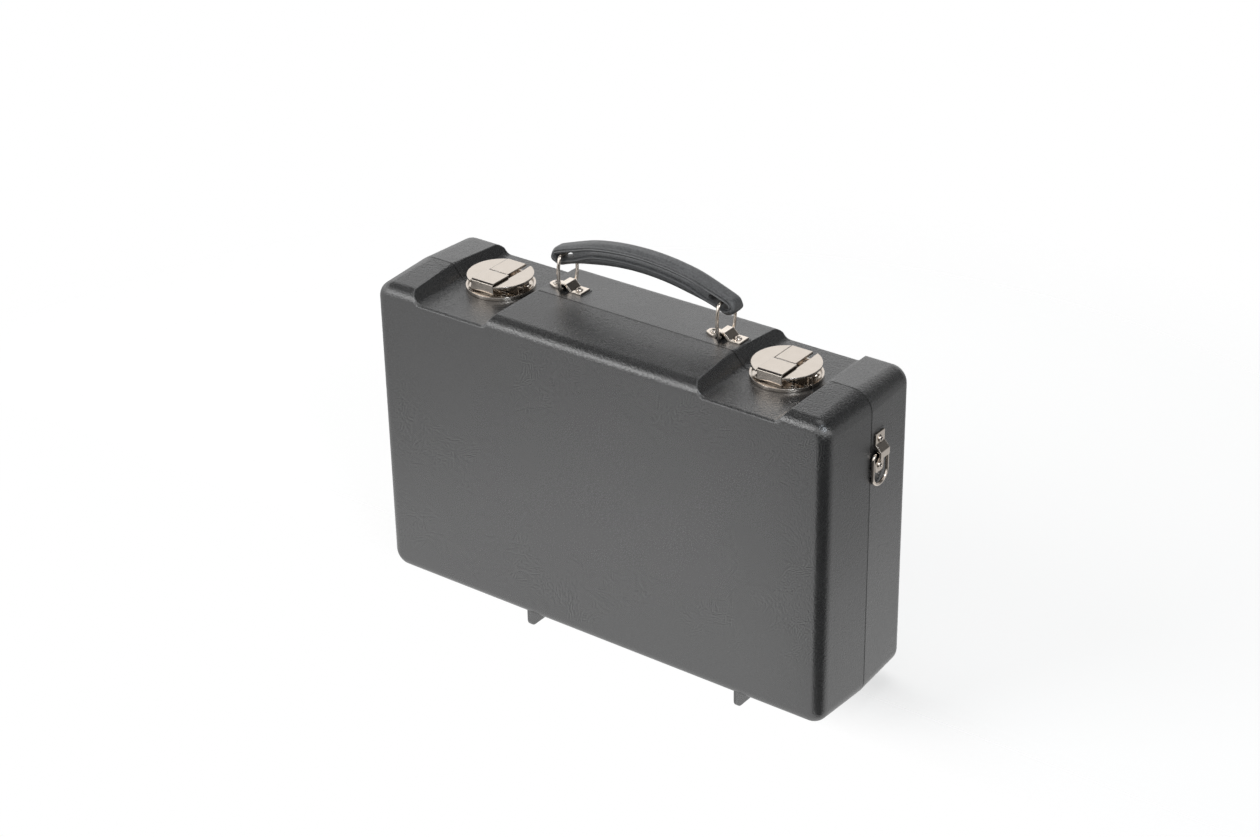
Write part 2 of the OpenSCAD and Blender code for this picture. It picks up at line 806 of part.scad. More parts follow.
// Leaf in the +Y half, fixed under the shell, with its own knuckles round the pin
module hinge_leaf(odd, fit) {
    length = hinge_l / knuckles - knuckle_gap;
    difference() {
        union() {
            translate([-hinge_l / 2, leaf_start, hinge_seat - leaf_t])
                cube([hinge_l, leaf_w - leaf_start, leaf_t]);
            knuckles(odd) {
                translate([0, 0, pin_z]) rotate([0, 90, 0]) cylinder(r = knuckle_r, h = length);
                translate([0, 0.5, hinge_seat - leaf_t]) cube([length, knuckle_r, leaf_t - 0.4]);
            }
        }
        pin_bore(0, pin_z, hinge_pin_r + fit, hinge_l);
        for (end = [-1, 1])
            translate([end * leaf_hole_x, leaf_hole_y, hinge_seat])
                rotate([180, 0, 0]) rivet_hole();
    }
}

module hinge_leaf_body(side) {
    color("silver") place() translate([side * hinge_x, 0, 0]) hinge_leaf(0, seat_fit);
}

module hinge_leaf_lid(side) {
    color("silver")
        place() translate([side * hinge_x, 0, 0]) mirror([0, 1, 0]) hinge_leaf(1, pin_fit);
}

module hinge_pin(side) {
    color("silver")
        place() translate([side * hinge_x, 0, 0]) pin_bore(0, pin_z, hinge_pin_r, hinge_l / 2 + 0.4);
}

// ---------- handle ----------

// The handle's pieces are drawn round its middle plane. Outlines are points in X and Z, right half first.

function arch_height(x) = arch_z + sqrt(arch_r * arch_r - x * x);

// Outline round the slot of the right end, r from the line between its two centres
function slot_outline(r) =
    concat(arc(eye_x, arch_height(eye_x), r, eye_dir + 90, eye_dir - 90, 12),
           arc(neck_x, arch_height(neck_x), r, eye_dir - 90, eye_dir - 270, 12));

// Right half of the core's outline: a band along the arch that widens to a ring round the slot
function core_half(grow) =
    let (half = core_h / 2 + grow,
         r = core_eye_r + grow,
         neck = asin(half / r),
         reach = asin((neck_x - r * cos(neck)) / arch_r))
    concat(arc(0, arch_z, arch_r + half, 89, 90 - reach, 12),
           arc(neck_x, arch_height(neck_x), r, eye_dir + 175 - neck, eye_dir + 95, 5),
           arc(eye_x, arch_height(eye_x), r, eye_dir + 90, eye_dir - 90, 12),
           arc(neck_x, arch_height(neck_x), r, eye_dir - 95, eye_dir - 175 + neck, 5),
           arc(0, arch_z, arch_r - half, 90 - reach, 89, 12));

// Core with its outline and width grown by grow, without the slots
module core_form(grow) {
    half = core_half(grow);
    along_y(-core_w / 2 - grow, core_w / 2 + grow) polygon(concat(half, mirrored(half)));
}

module slots(width) {
    right = slot_outline(slot_r);
    for (points = [right, mirrored(right)])
        along_y(-width / 2, width / 2) polygon(points);
}

// Sections of the right half of the grip from the middle to the end, each as
// [angle along the arch, share of the narrower end section, share of the height]
function grip_stations() =
    let (shoulder = neck_x - slot_r - grip_shoulder)
    concat([for (i = [0:8]) [asin(shoulder * i / 8 / arch_r), 0, 1]],
           [for (i = [1:3]) [asin((shoulder + grip_shoulder * i / 3) / arch_r), i / 3, 1]],
           [[asin((neck_x + eye_x) / 2 / arch_r), 1, 1]],
           [for (a = [0, 22, 42, 58, 70, 80])
               [asin(eye_x / arch_r) + grip_end_r * sin(a) / arch_r * 180 / PI, 1, cos(a)]]);

// Rounded section of the grip at one station, as [distance along Y, distance outwards from the arch]
function grip_section(station) =
    let (half_w = (grip_w + (grip_end_w - grip_w) * station[1]) / 2,
         half_h = (grip_h / 2 + (grip_end_r - grip_h / 2) * station[1]) * station[2],
         r = min(grip_corner_r + (grip_end_corner_r - grip_corner_r) * station[1], 0.8 * half_h))
    [for (corner = [0:3], i = [0:3])
        let (a = 90 * corner + 30 * i,
             side = corner == 0 || corner == 3 ? 1 : -1,
             up = corner < 2 ? 1 : -1)
        [side * (half_w - r) + r * cos(a), up * (half_h - r) + r * sin(a)]];

// Outer form of the grip: sections swept along the arch from the left end to the right end
module grip_form() {
    right = grip_stations();
    count = len(right);
    stations = concat([for (i = [count - 1:-1:1]) [-right[i][0], right[i][1], right[i][2]]], right);
    last = len(stations) - 1;
    sides = len(grip_section(stations[0]));
    points = [for (station = stations, p = grip_section(station))
        [(arch_r + p[1]) * sin(station[0]), p[0], arch_z + (arch_r + p[1]) * cos(station[0])]];
    walls = [for (i = [0:last - 1], j = [0:sides - 1], half = [0, 1])
        let (here = i * sides, next = here + sides, up = (j + 1) % sides)
        half == 0 ? [here + j, next + up, here + up] : [here + j, next + j, next + up]];
    polyhedron(points, concat(walls, [[for (j = [0:sides - 1]) j]],
                              [[for (j = [sides - 1:-1:0]) last * sides + j]]));
}

module handle_core() {
    color("dimgray")
        place()
            translate([0, handle_back, 0])
                difference() {
                    core_form(0);
                    slots(grip_w);
                }
}

module handle_grip() {
    color("#3a3a3e")
        place()
            translate([0, handle_back, 0])
                difference() {
                    grip_form();
                    core_form(core_fit);
                    slots(2 * grip_w);
                }
}

body_shell();
body_lining();
lid_shell();
lid_lining();
handle_bracket(-1);  // handle_bracket_left
handle_bracket(1);  // handle_bracket_right
handle_rivets();
strap_bracket(-1);  // strap_bracket_left
strap_bracket(1);  // strap_bracket_right
strap_rivets();
latch_base(-1);  // latch_base_left
latch_base(1);  // latch_base_right
latch_rivets();
latch_pivot(-1);  // latch_pivot_left
latch_pivot(1);  // latch_pivot_right
latch_strike(-1);  // latch_strike_left
latch_strike(1);  // latch_strike_right
strike_rivets();
latch_lever(-1);  // latch_lever_left
latch_lever(1);  // latch_lever_right
latch_link_pin(-1);  // latch_link_pin_left
latch_link_pin(1);  // latch_link_pin_right
latch_hook(-1);  // latch_hook_left
latch_hook(1);  // latch_hook_right
hinge_leaf_body(-1);  // hinge_leaf_body_left
hinge_leaf_body(1);  // hinge_leaf_body_right
hinge_body_rivets();
hinge_leaf_lid(-1);  // hinge_leaf_lid_left
hinge_leaf_lid(1);  // hinge_leaf_lid_right
hinge_lid_rivets();
hinge_pin(-1);  // hinge_pin_left
hinge_pin(1);  // hinge_pin_right
handle_ring(-1);  // handle_ring_left
handle_ring(1);  // handle_ring_right
handle_core();
handle_grip();
strap_ring(-1);  // strap_ring_left
strap_ring(1);  // strap_ring_right
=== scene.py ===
"""Looks of a moulded carrying case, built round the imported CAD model.

Everything is in metres in the part's own frame: X along the case, Y from the lid (-Y) to the body
(+Y), Z up from the feet of the standing ribs. Named sizes are in millimetres unless they say
otherwise.
"""

import json
import math

import bpy
from mathutils import Matrix, Vector

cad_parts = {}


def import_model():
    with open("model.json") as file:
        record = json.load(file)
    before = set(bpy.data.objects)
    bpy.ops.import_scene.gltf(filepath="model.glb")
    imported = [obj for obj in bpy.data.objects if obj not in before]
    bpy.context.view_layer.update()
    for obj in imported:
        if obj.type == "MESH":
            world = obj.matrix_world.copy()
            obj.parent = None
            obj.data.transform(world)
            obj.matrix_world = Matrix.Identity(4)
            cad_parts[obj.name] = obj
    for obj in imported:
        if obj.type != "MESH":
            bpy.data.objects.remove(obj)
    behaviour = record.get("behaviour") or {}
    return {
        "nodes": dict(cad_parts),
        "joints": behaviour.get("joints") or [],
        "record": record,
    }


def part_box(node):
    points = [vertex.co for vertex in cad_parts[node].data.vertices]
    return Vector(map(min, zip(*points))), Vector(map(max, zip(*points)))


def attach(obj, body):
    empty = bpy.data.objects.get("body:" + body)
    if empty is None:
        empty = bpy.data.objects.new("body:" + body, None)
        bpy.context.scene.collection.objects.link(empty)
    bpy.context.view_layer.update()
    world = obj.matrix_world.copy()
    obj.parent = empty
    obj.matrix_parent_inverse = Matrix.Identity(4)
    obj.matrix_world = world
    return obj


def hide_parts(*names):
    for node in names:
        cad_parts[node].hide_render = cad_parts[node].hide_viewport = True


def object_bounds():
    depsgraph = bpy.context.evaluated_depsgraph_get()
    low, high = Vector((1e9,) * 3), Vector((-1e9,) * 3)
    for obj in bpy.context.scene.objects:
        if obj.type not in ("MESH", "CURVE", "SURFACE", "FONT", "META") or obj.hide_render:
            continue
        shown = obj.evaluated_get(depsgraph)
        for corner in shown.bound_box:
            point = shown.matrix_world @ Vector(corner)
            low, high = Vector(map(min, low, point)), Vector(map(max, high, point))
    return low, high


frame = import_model()
cad_low, cad_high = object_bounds()
NODES = frame["nodes"]
JOINTS = {joint["name"]: joint for joint in frame["joints"]}
MM = 0.001
SEAM_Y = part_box("lid_shell")[1].y


# ---------------------------------------------------------------- node graphs

class Graph:
    """Builds the nodes of a tree; a value is a number, a colour or another node's output."""

    def __init__(self, tree):
        self.tree = tree
        tree.nodes.clear()

    def feed(self, socket, value):
        if isinstance(value, bpy.types.NodeSocket):
            self.tree.links.new(value, socket)
        else:
            socket.default_value = value

    def add(self, kind, inputs=None, **settings):
        """A new node with its settings, and with values fed to its inputs by number or name."""
        node = self.tree.nodes.new(kind)
        for key, value in settings.items():
            setattr(node, key, value)
        for key, value in (inputs or {}).items():
            self.feed(node.inputs[key], value)
        return node

    def math(self, operation, first, second=0.0):
        return self.add("ShaderNodeMath", {0: first, 1: second}, operation=operation).outputs[0]

    def vector(self, operation, first, second=(0.0, 0.0, 0.0)):
        """The outputs of a vector operation, Vector and Value."""
        return self.add("ShaderNodeVectorMath", {0: first, 1: second}, operation=operation).outputs

    def remap(self, value, low, high, to_low=0.0, to_high=1.0, curve="LINEAR"):
        inputs = {0: value, 1: low, 2: high, 3: to_low, 4: to_high}
        return self.add("ShaderNodeMapRange", inputs, interpolation_type=curve).outputs[0]

    def weighted(self, first, first_share, second, second_share):
        """Sum of two values, each times its share."""
        return self.math("ADD", self.math("MULTIPLY", first, first_share),
                         self.math("MULTIPLY", second, second_share))

    def axes(self, vector):
        """The vector's coordinates, by the names X, Y and Z."""
        return self.add("ShaderNodeSeparateXYZ", {0: vector}).outputs


RAYS = 6                   # rays of each look at the edges and gaps around a point
AGREE_RANGE = (0.99, 0.8)  # cosine between the rounded and the plain normal: no wear or painted highlight, full wear and painted highlight
DEEP_OPEN = 0.15           # share that is open deep in a gap


class Material(Graph):
    """A material with one Principled shader. Sizes, radii and depths are in millimetres."""

    def __init__(self, name):
        self.material = bpy.data.materials.new(name)
        self.material.use_nodes = True
        super().__init__(self.material.node_tree)
        self.shader = self.add("ShaderNodeBsdfPrincipled")
        self.add("ShaderNodeOutputMaterial", {"Surface": self.shader.outputs[0]})
        self.position = self.add("ShaderNodeTexCoord").outputs["Object"]

    def set(self, **values):
        """Sets the shader's sockets; an underscore in a name stands for a space."""
        for key, value in values.items():
            self.feed(self.shader.inputs[key.replace("_", " ")], value)

    def noise(self, size, detail=2.0, roughness=0.5, at=None):
        vector = self.position if at is None else at
        inputs = {"Vector": vector, "Scale": 1 / (size * MM), "Detail": detail, "Roughness": roughness}
        return self.add("ShaderNodeTexNoise", inputs).outputs["Fac"]

    def cells(self, size):
        """Rounded cells, 0 in the middle of each."""
        inputs = {"Vector": self.position, "Scale": 1 / (size * MM)}
        return self.add("ShaderNodeTexVoronoi", inputs, feature="SMOOTH_F1").outputs["Distance"]

    def mix(self, share, first, second):
        return self.add("ShaderNodeMix", {0: share, 6: first, 7: second}, data_type="RGBA").outputs[2]

    def bump(self, height, depth, normal=None):
        """depth is that of a full step of the height input."""
        node = self.add("ShaderNodeBump", {"Strength": 1.0, "Distance": depth * MM, "Height": height})
        if normal is not None:
            self.feed(node.inputs["Normal"], normal)
        return node.outputs[0]

    def soft_edges(self, radius):
        """Normal that is rounded over the sharp edges."""
        return self.add("ShaderNodeBevel", {"Radius": radius * MM}, samples=RAYS).outputs[0]

    def edge_wear_and_highlight(self, radius, most):
        """most along sharp edges, 0 further than radius from them."""
        plain = self.add("ShaderNodeNewGeometry").outputs["Normal"]
        agree = self.vector("DOT_PRODUCT", self.soft_edges(radius), plain)["Value"]
        return self.math("MULTIPLY", self.remap(agree, *AGREE_RANGE), most)

    def crevice(self, reach, opens):
        """1 deep in gaps, 0 where more than the share opens of what lies within reach is open."""
        node = self.add("ShaderNodeAmbientOcclusion", {"Distance": reach * MM}, samples=RAYS)
        return self.remap(node.outputs["AO"], DEEP_OPEN, opens, 1.0, 0.0)


def grey(level, warmth=0.0):
    """A grey whose red is raised and whose blue is lowered by the share warmth."""
    return (level * (1 + warmth), level, level * (1 - warmth), 1.0)


# ---------------------------------------------------------------- materials

# Cells and noise run from 0 to 1. These are the parts of their range that a mix or a roughness
# spreads over its own, the sums being those of two noises.
CELL_RANGE = (0.1, 0.75)
CLOUD_RANGE = (0.35, 0.65)
WIDE_RANGE = (0.3, 0.7)
PILE_RANGE = (0.45, 0.75)
SUM_RANGE = (0.7, 1.3)
WIDE_SUM_RANGE = (0.6, 1.4)
# Pointiness is 0.5 on a flat face. This is the part of its range along the lips of the grip.
LIP_RANGE = (0.51, 0.56)
# Distance from the seam at which its painted dark line of shade begins to fade, and at which it ends.
SEAM_LINE = (0.3, 0.8)
# How much finer the polishing marks are along each axis.
MARKS = (1.0, 14.0, 14.0)
HAZE_SHARE = 0.92          # level of the nickel's haze against its plain plate
SPREAD = (0.75, 1.25)      # roughness of the nickel against its middle


def moulded_plastic():
    """Black ABS with a fine pebble grain and a satin sheen; the joint of the halves is a painted dark
    line of shade.
    """
    dark, pale = grey(0.019, -0.02), grey(0.024, -0.01)
    pit, scuffed_and_highlight, seam_shade = grey(0.014, -0.01), grey(0.2), grey(0.003)
    m = Material("moulded_plastic")
    pebble = m.cells(size=1.0)
    fine = m.noise(size=0.6, detail=3.0)
    cloud = m.noise(size=70.0, detail=3.0)
    speck = m.mix(m.remap(pebble, *CELL_RANGE), m.mix(m.remap(cloud, *CLOUD_RANGE), dark, pale), pit)
    # Sharp edges turn paler: partly scuffing, partly a painted highlight standing in for the light that
    # the rounded edges catch.
    worn_and_highlit = m.mix(m.edge_wear_and_highlight(radius=1.5, most=0.8), speck, scuffed_and_highlight)
    # Painted shade along the joint of the halves: near-black base colour and no tinted reflection, where
    # the shells meet without a gap.
    from_seam = m.math("ABSOLUTE", m.math("SUBTRACT", m.axes(m.position)["Y"], SEAM_Y))
    off_seam = m.remap(from_seam, SEAM_LINE[0] * MM, SEAM_LINE[1] * MM)
    m.set(Base_Color=m.mix(off_seam, seam_shade, worn_and_highlit),
          Specular_Tint=m.mix(off_seam, grey(0.0), grey(1.0)),
          Specular_IOR_Level=0.95,
          IOR=1.75,
          Roughness=m.remap(m.math("ADD", fine, cloud), *SUM_RANGE, to_low=0.22, to_high=0.33))
    height = m.weighted(pebble, -0.65, fine, 0.35)
    m.set(Normal=m.bump(height, depth=0.28, normal=m.soft_edges(radius=0.9)))
    return m.material


def nickel(name, level, roughness):
    """Bright nickel plate, slightly warm, with faint polishing marks, and with tarnish and painted shade
    in its gaps.
    """
    plain, hazy = grey(level, 0.1), grey(level * HAZE_SHARE, 0.12)
    polished_and_highlight, tarnish_and_shade = grey(0.96, 0.02), (0.1, 0.08, 0.06, 1.0)
    m = Material(name)
    haze = m.noise(size=6.0, detail=4.0)
    marks = m.noise(size=0.5, at=m.vector("MULTIPLY", m.position, MARKS)["Vector"])
    # Sharp edges turn paler: partly rubbed polish, partly a painted highlight along the edges.
    rubbed = m.mix(m.edge_wear_and_highlight(radius=0.25, most=0.6), m.mix(haze, plain, hazy), polished_and_highlight)
    # Gaps and slits turn dark brown: partly tarnish, partly painted shade where little light reaches.
    gap_tarnish_and_shade = m.math("MAXIMUM", m.crevice(reach=1.6, opens=0.9), m.crevice(reach=5.0, opens=0.42))
    m.set(Base_Color=m.mix(gap_tarnish_and_shade, rubbed, tarnish_and_shade),
          Metallic=1.0,
          Roughness=m.remap(m.math("ADD", haze, marks), *WIDE_SUM_RANGE,
                            to_low=roughness * SPREAD[0], to_high=roughness * SPREAD[1]))
    m.set(Normal=m.bump(marks, depth=0.006, normal=m.soft_edges(radius=0.6)))
    return m.material


def grip_cover():
    """Grained soft cover of the handle, rubbed paler along its raised lips."""
    dark, pale = grey(0.085, -0.03), grey(0.12, -0.02)
    pit, rubbed = grey(0.04, -0.03), grey(0.11, -0.01)
    m = Material("grip_cover")
    pebble = m.cells(size=0.9)
    creases = m.noise(size=1.6, detail=4.0, roughness=0.6)
    cloud = m.noise(size=22.0, detail=3.0)
    tone = m.mix(m.remap(pebble, *CELL_RANGE), m.mix(cloud, dark, pale), pit)
    pointiness = m.add("ShaderNodeNewGeometry").outputs["Pointiness"]
    m.set(Base_Color=m.mix(m.remap(pointiness, *LIP_RANGE), tone, rubbed),
          Specular_IOR_Level=0.8,
          IOR=1.55,
          Roughness=m.remap(creases, *WIDE_RANGE, to_low=0.36, to_high=0.5))
    m.set(Normal=m.bump(m.weighted(pebble, -0.6, creases, 0.4), depth=0.22))
    return m.material


def dark_core():
    """Plain dark plastic of the core, seen only inside the slots."""
    m = Material("dark_core")
    haze = m.noise(size=3.0, detail=3.0)
    m.set(Base_Color=m.mix(haze, grey(0.012), grey(0.02)),
          Roughness=m.remap(haze, *WIDE_RANGE, to_low=0.5, to_high=0.65))
    m.set(Normal=m.bump(haze, depth=0.05))
    return m.material


def lining_cloth():
    """Short-pile fabric on foam: soft, dull, with a light sheen and brushed patches."""
    dark, pale = (0.022, 0.024, 0.031, 1), (0.036, 0.039, 0.049, 1)
    pile_tips = (0.055, 0.058, 0.07, 1)
    m = Material("lining_cloth")
    pile = m.noise(size=0.45, detail=3.0, roughness=0.7)
    brushed = m.noise(size=28.0, detail=4.0, roughness=0.6)
    tone = m.mix(m.remap(brushed, *CLOUD_RANGE), dark, pale)
    m.set(Base_Color=m.mix(m.remap(pile, *PILE_RANGE), tone, pile_tips),
          Roughness=0.95,
          Specular_IOR_Level=0.2,
          Sheen_Weight=0.35,
          Sheen_Roughness=0.4)
    m.set(Normal=m.bump(m.weighted(pile, 1.0, brushed, 0.6), depth=0.25))
    return m.material


PLASTIC = moulded_plastic()
NICKEL = nickel("nickel_plate", level=0.68, roughness=0.14)
BRACKET = nickel("nickel_bracket", level=0.9, roughness=0.16)
WIRE = nickel("nickel_wire", level=0.86, roughness=0.14)
RIVET = nickel("nickel_rivet", level=0.8, roughness=0.2)
HINGE = nickel("nickel_hinge", level=0.6, roughness=0.32)
COVER = grip_cover()
CORE = dark_core()
CLOTH = lining_cloth()


# ---------------------------------------------------------------- object helpers

SMOOTH_BELOW = 24          # degrees: an edge with a larger angle stays sharp
WELD = 0.002               # distance of corners that are joined
EVEN_NORMALS = 80          # how much the normals lean towards the large faces


def link(name, data):
    """A new object in the scene."""
    made = bpy.data.objects.new(name, data)
    bpy.context.scene.collection.objects.link(made)
    return made


def smoothing_group():
    """Geometry nodes that shade faces smooth and keep edges above the angle sharp."""
    group = bpy.data.node_groups.new("smooth_below_%d" % SMOOTH_BELOW, "GeometryNodeTree")
    group.interface.new_socket("Geometry", in_out="INPUT", socket_type="NodeSocketGeometry")
    group.interface.new_socket("Geometry", in_out="OUTPUT", socket_type="NodeSocketGeometry")
    start = group.nodes.new("NodeGroupInput")
    end = group.nodes.new("NodeGroupOutput")
    faces = group.nodes.new("GeometryNodeSetShadeSmooth")
    faces.domain = "FACE"
    edges = group.nodes.new("GeometryNodeSetShadeSmooth")
    edges.domain = "EDGE"
    angle = group.nodes.new("GeometryNodeInputMeshEdgeAngle")
    below = group.nodes.new("FunctionNodeCompare")
    below.operation = "LESS_EQUAL"
    below.inputs[1].default_value = math.radians(SMOOTH_BELOW)
    group.links.new(start.outputs[0], faces.inputs["Geometry"])
    group.links.new(faces.outputs[0], edges.inputs["Geometry"])
    group.links.new(angle.outputs["Unsigned Angle"], below.inputs[0])
    group.links.new(below.outputs[0], edges.inputs["Shade Smooth"])
    group.links.new(edges.outputs[0], end.inputs[0])
    return group


SMOOTHING = smoothing_group()


def smooth_faces(mesh):
    for polygon in mesh.polygons:
        polygon.use_smooth = True


def smooth(piece):
    """Shades a piece smooth, with its sharp edges kept."""
    piece.modifiers.new("smooth", "NODES").node_group = SMOOTHING


def weld(piece):
    """Joins the corners of a CAD mesh that lie in one place."""
    piece.modifiers.new("weld", "WELD").merge_threshold = WELD * MM


def applied(piece):
    """A new mesh of the piece with its modifiers carried out."""
    bpy.context.view_layer.update()
    return bpy.data.meshes.new_from_object(
        piece.evaluated_get(bpy.context.evaluated_depsgraph_get()))


def discard(thing):
    """Removes a helper object and its mesh."""
    mesh = thing.data
    bpy.data.objects.remove(thing)
    bpy.data.meshes.remove(mesh)


# ---------------------------------------------------------------- carried-over CAD nodes

SLOT_MATERIALS = {"shell": PLASTIC, "nickel": NICKEL, "rivet": RIVET, "hinge": HINGE, "core": CORE}


def dress(node, material):
    """Gives a CAD node its material and smooth shading; its mesh stays as it is."""
    piece = NODES[node]
    piece.data.materials.clear()
    piece.data.materials.append(material)
    weld(piece)
    smooth(piece)
    even = piece.modifiers.new("even_normals", "WEIGHTED_NORMAL")
    even.keep_sharp = True
    even.weight = EVEN_NORMALS


for part in frame["record"]["subparts"]:
    if "bracket" in part["node"]:
        dress(part["node"], BRACKET)
    elif part["material_slot"] in SLOT_MATERIALS:
        dress(part["node"], SLOT_MATERIALS[part["material_slot"]])


# ---------------------------------------------------------------- wire rings

# The same centrelines as the CAD rings, with a rounder wire and smoother bends.
WIRE_R = 1.1
WIRE_SIDES = 20
RING_CORNER_R = 3.0
RING_STEPS = 14            # steps of each bend
SAME_POINT = 1e-6          # distance of the middles of two steps that are one
# Handle rings: height between the middles of the bars, half length of the bars, lean in degrees.
RING_H = 23.6
BAR_HALF = 5.6
LEG_LEAN = 17.0
# Strap rings: height from the bar to the round end, half width between the middles of the legs.
STRAP_RING_H = 21.8
STRAP_RING_HALF = 8.2


def new_piece(name, points, faces, material, body, replaced):
    """A smooth piece from points and faces, on its body and in place of a CAD node."""
    mesh = bpy.data.meshes.new(name)
    mesh.from_pydata(points, [], faces)
    mesh.validate()
    mesh.materials.append(material)
    piece = link(name, mesh)
    smooth_faces(mesh)
    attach(piece, body)
    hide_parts(replaced)
    return piece


def handle_bends():
    """Bends of one side of a handle ring as (across, up, radius, first and last direction)."""
    lean = math.radians(LEG_LEAN)
    leg_r = (RING_H / 2 - RING_CORNER_R * (1 - math.sin(lean))) / math.sin(lean)
    leg_across = BAR_HALF + (RING_CORNER_R - leg_r) * math.cos(lean)
    return [(BAR_HALF, RING_CORNER_R, RING_CORNER_R, -90, -LEG_LEAN),
            (leg_across, RING_H / 2, leg_r, -LEG_LEAN, LEG_LEAN),
            (BAR_HALF, RING_H - RING_CORNER_R, RING_CORNER_R, LEG_LEAN, 90)]


def strap_bends():
    """Bends of one side of a strap ring: a corner, a straight leg and a quarter of its round end.
    It stops half a step before the end's middle, so that the other side goes on evenly."""
    last = 90 * RING_STEPS / (RING_STEPS + 0.5)
    return [(STRAP_RING_HALF - RING_CORNER_R, RING_CORNER_R, RING_CORNER_R, -90, 0),
            (0.0, STRAP_RING_H - STRAP_RING_HALF, STRAP_RING_HALF, 0, last)]


def ring_path(bends):
    """Closed centreline in the ring's plane as (across, up, direction of the outside in degrees)."""
    side = []
    for across, up, radius, start, stop in bends:
        for i in range(RING_STEPS + 1):
            degrees = start + (stop - start) * i / RING_STEPS
            a = math.radians(degrees)
            point = (across + radius * math.cos(a), up + radius * math.sin(a), degrees)
            if not side or math.dist(point, side[-1]) > SAME_POINT:
                side.append(point)
    return side + [(-y, z, 180 - degrees) for y, z, degrees in reversed(side)]


def wire_ring(name, body, node, pivot, up, bends):
    """Ring whose held bar passes through pivot; up is +1 or -1 along Z."""
    path = ring_path(bends)
    points, faces = [], []
    for across, height, degrees in path:
        a = math.radians(degrees)
        for i in range(WIRE_SIDES):
            b = 2 * math.pi * i / WIRE_SIDES
            points.append(pivot + Vector((WIRE_R * math.sin(b),
                                          across + WIRE_R * math.cos(b) * math.cos(a),
                                          up * (height + WIRE_R * math.cos(b) * math.sin(a)))) * MM)
    for i in range(len(path)):
        here, there = i * WIRE_SIDES, (i + 1) % len(path) * WIRE_SIDES
        for j in range(WIRE_SIDES):
            k = (j + 1) % WIRE_SIDES
            quad = (here + j, here + k, there + k, there + j)
            faces.append(quad if up > 0 else quad[::-1])
    new_piece(name, points, faces, WIRE, body, node)


for side in ("left", "right"):
    handle_pivot = Vector(JOINTS["handle_ring_%s_swing" % side]["pos_m"])
    strap_pivot = Vector(JOINTS["strap_ring_%s_swing" % side]["pos_m"])
    wire_ring("handle_wire_" + side, "ring_" + side, "handle_ring_" + side,
              handle_pivot, 1, handle_bends())
    wire_ring("strap_wire_" + side, "strap_" + side, "strap_ring_" + side,
              strap_pivot, -1, strap_bends())


# ---------------------------------------------------------------- padded grip

# A section swept along the arch. A sunken channel along each side ends round the slots; a raised
# lip follows its edge, with a crease beside the lip.
EYE_X = 64.2               # slot centres from the middle of the handle
GRIP_RISE = 12.0           # rise of the arch over the slot centres
GRIP_STEP = 0.9            # distance between sections
GRIP_SIDES = 168           # points round each section
# Section: in the middle and at the ends, with the places along the arch where it begins and ends
# to change.
GRIP_W, END_W = 15.0, 12.0
GRIP_H, END_R = 14.6, 6.3  # height in the middle, half height at the ends
CORNER_R, END_CORNER_R = 6.0, 3.8
CORNER_SHARE = 0.92        # most that a corner takes of the half height
SHOULDER = (34.0, 60.0)
# Tips: angles of their sections in degrees, and how much each side draws in at the very end.
TIP_ANGLES = (6, 12, 18, 24, 30, 36, 42, 48, 54, 60, 66, 71, 76, 80, 84, 87)
TIP_NARROWS = 1.2
# Channel: half height in the middle and round the slots, height of its middle over that of the
# section, depth, width of its sloping edge.
CHANNEL_R, END_CHANNEL_R = 2.2, 2.9
CHANNEL_RISE = 1.75
CHANNEL_DEPTH = 0.8
CHANNEL_SLOPE = 0.6
# Lip: height, width, distance outside the channel's edge.
LIP, LIP_W, LIP_OUT = 0.7, 0.45, 0.3
# Crease: depth, width, distance outside the channel's lower and upper edge. It crosses over from one
# to the other within CREASE_TURN of the channel's middle.
CREASE, CREASE_W = 0.6, 0.4
CREASE_LOW, CREASE_HIGH = -0.5, 1.1
CREASE_TURN = 1.0
# How far a face looks sideways where the channel, lip and crease begin, and where they are whole.
SIDE_FACING = (0.35, 0.9)
# Shallow groove round the cover: place, depth, width.
PARTING_X = -7.0
PARTING, PARTING_W = 0.16, 0.35
# Slots of the core: length between the middles of the round ends, half width. The cover's slots are
# narrower by SLOT_LESS on each side.
SLOT_L, SLOT_R = 10.7, 2.3
SLOT_LESS = 0.3
SLOT_STEPS = 16


def smoothstep(low, high, value):
    t = min(max((value - low) / (high - low), 0.0), 1.0)
    return t * t * (3 - 2 * t)


def between(first, last, share):
    return first + (last - first) * share


def rounded_section(half_w, half_h, radius):
    """Points evenly round a rounded rectangle, each with its outward direction."""
    flat_w, flat_h = half_w - radius, half_h - radius
    corner = math.pi / 2 * radius
    lengths = [2 * flat_w, corner, 2 * flat_h, corner, 2 * flat_w, corner, 2 * flat_h, corner]
    around, result = sum(lengths), []
    corners = {1: (flat_w, flat_h, 90), 3: (flat_w, -flat_h, 0),
               5: (-flat_w, -flat_h, -90), 7: (-flat_w, flat_h, 180)}
    flats = {0: (-flat_w, half_h, 1, 0), 2: (half_w, flat_h, 0, -1),
             4: (flat_w, -half_h, -1, 0), 6: (-half_w, -flat_h, 0, 1)}
    for i in range(GRIP_SIDES):
        left, part = around * (i + 0.5) / GRIP_SIDES, 0
        while left > lengths[part]:
            left -= lengths[part]
            part += 1
        if part in flats:
            y, v, dy, dv = flats[part]
            result.append((y + dy * left, v + dv * left, -dv, dy))
        else:
            y, v, start = corners[part]
            a = math.radians(start) - left / radius
            result.append((y + radius * math.cos(a), v + radius * math.sin(a), math.cos(a), math.sin(a)))
    return result


def grip_stations(eye_s):
    """Sections as (distance along the arch, share of the full height), closed round both tips."""
    stations = [(GRIP_STEP * i, 1.0) for i in range(int(eye_s / GRIP_STEP) + 1)]
    stations.append((eye_s, 1.0))
    for degrees in TIP_ANGLES:
        a = math.radians(degrees)
        stations.append((eye_s + END_R * math.sin(a), math.cos(a)))
    return [(-s, share) for s, share in reversed(stations[1:])] + stations


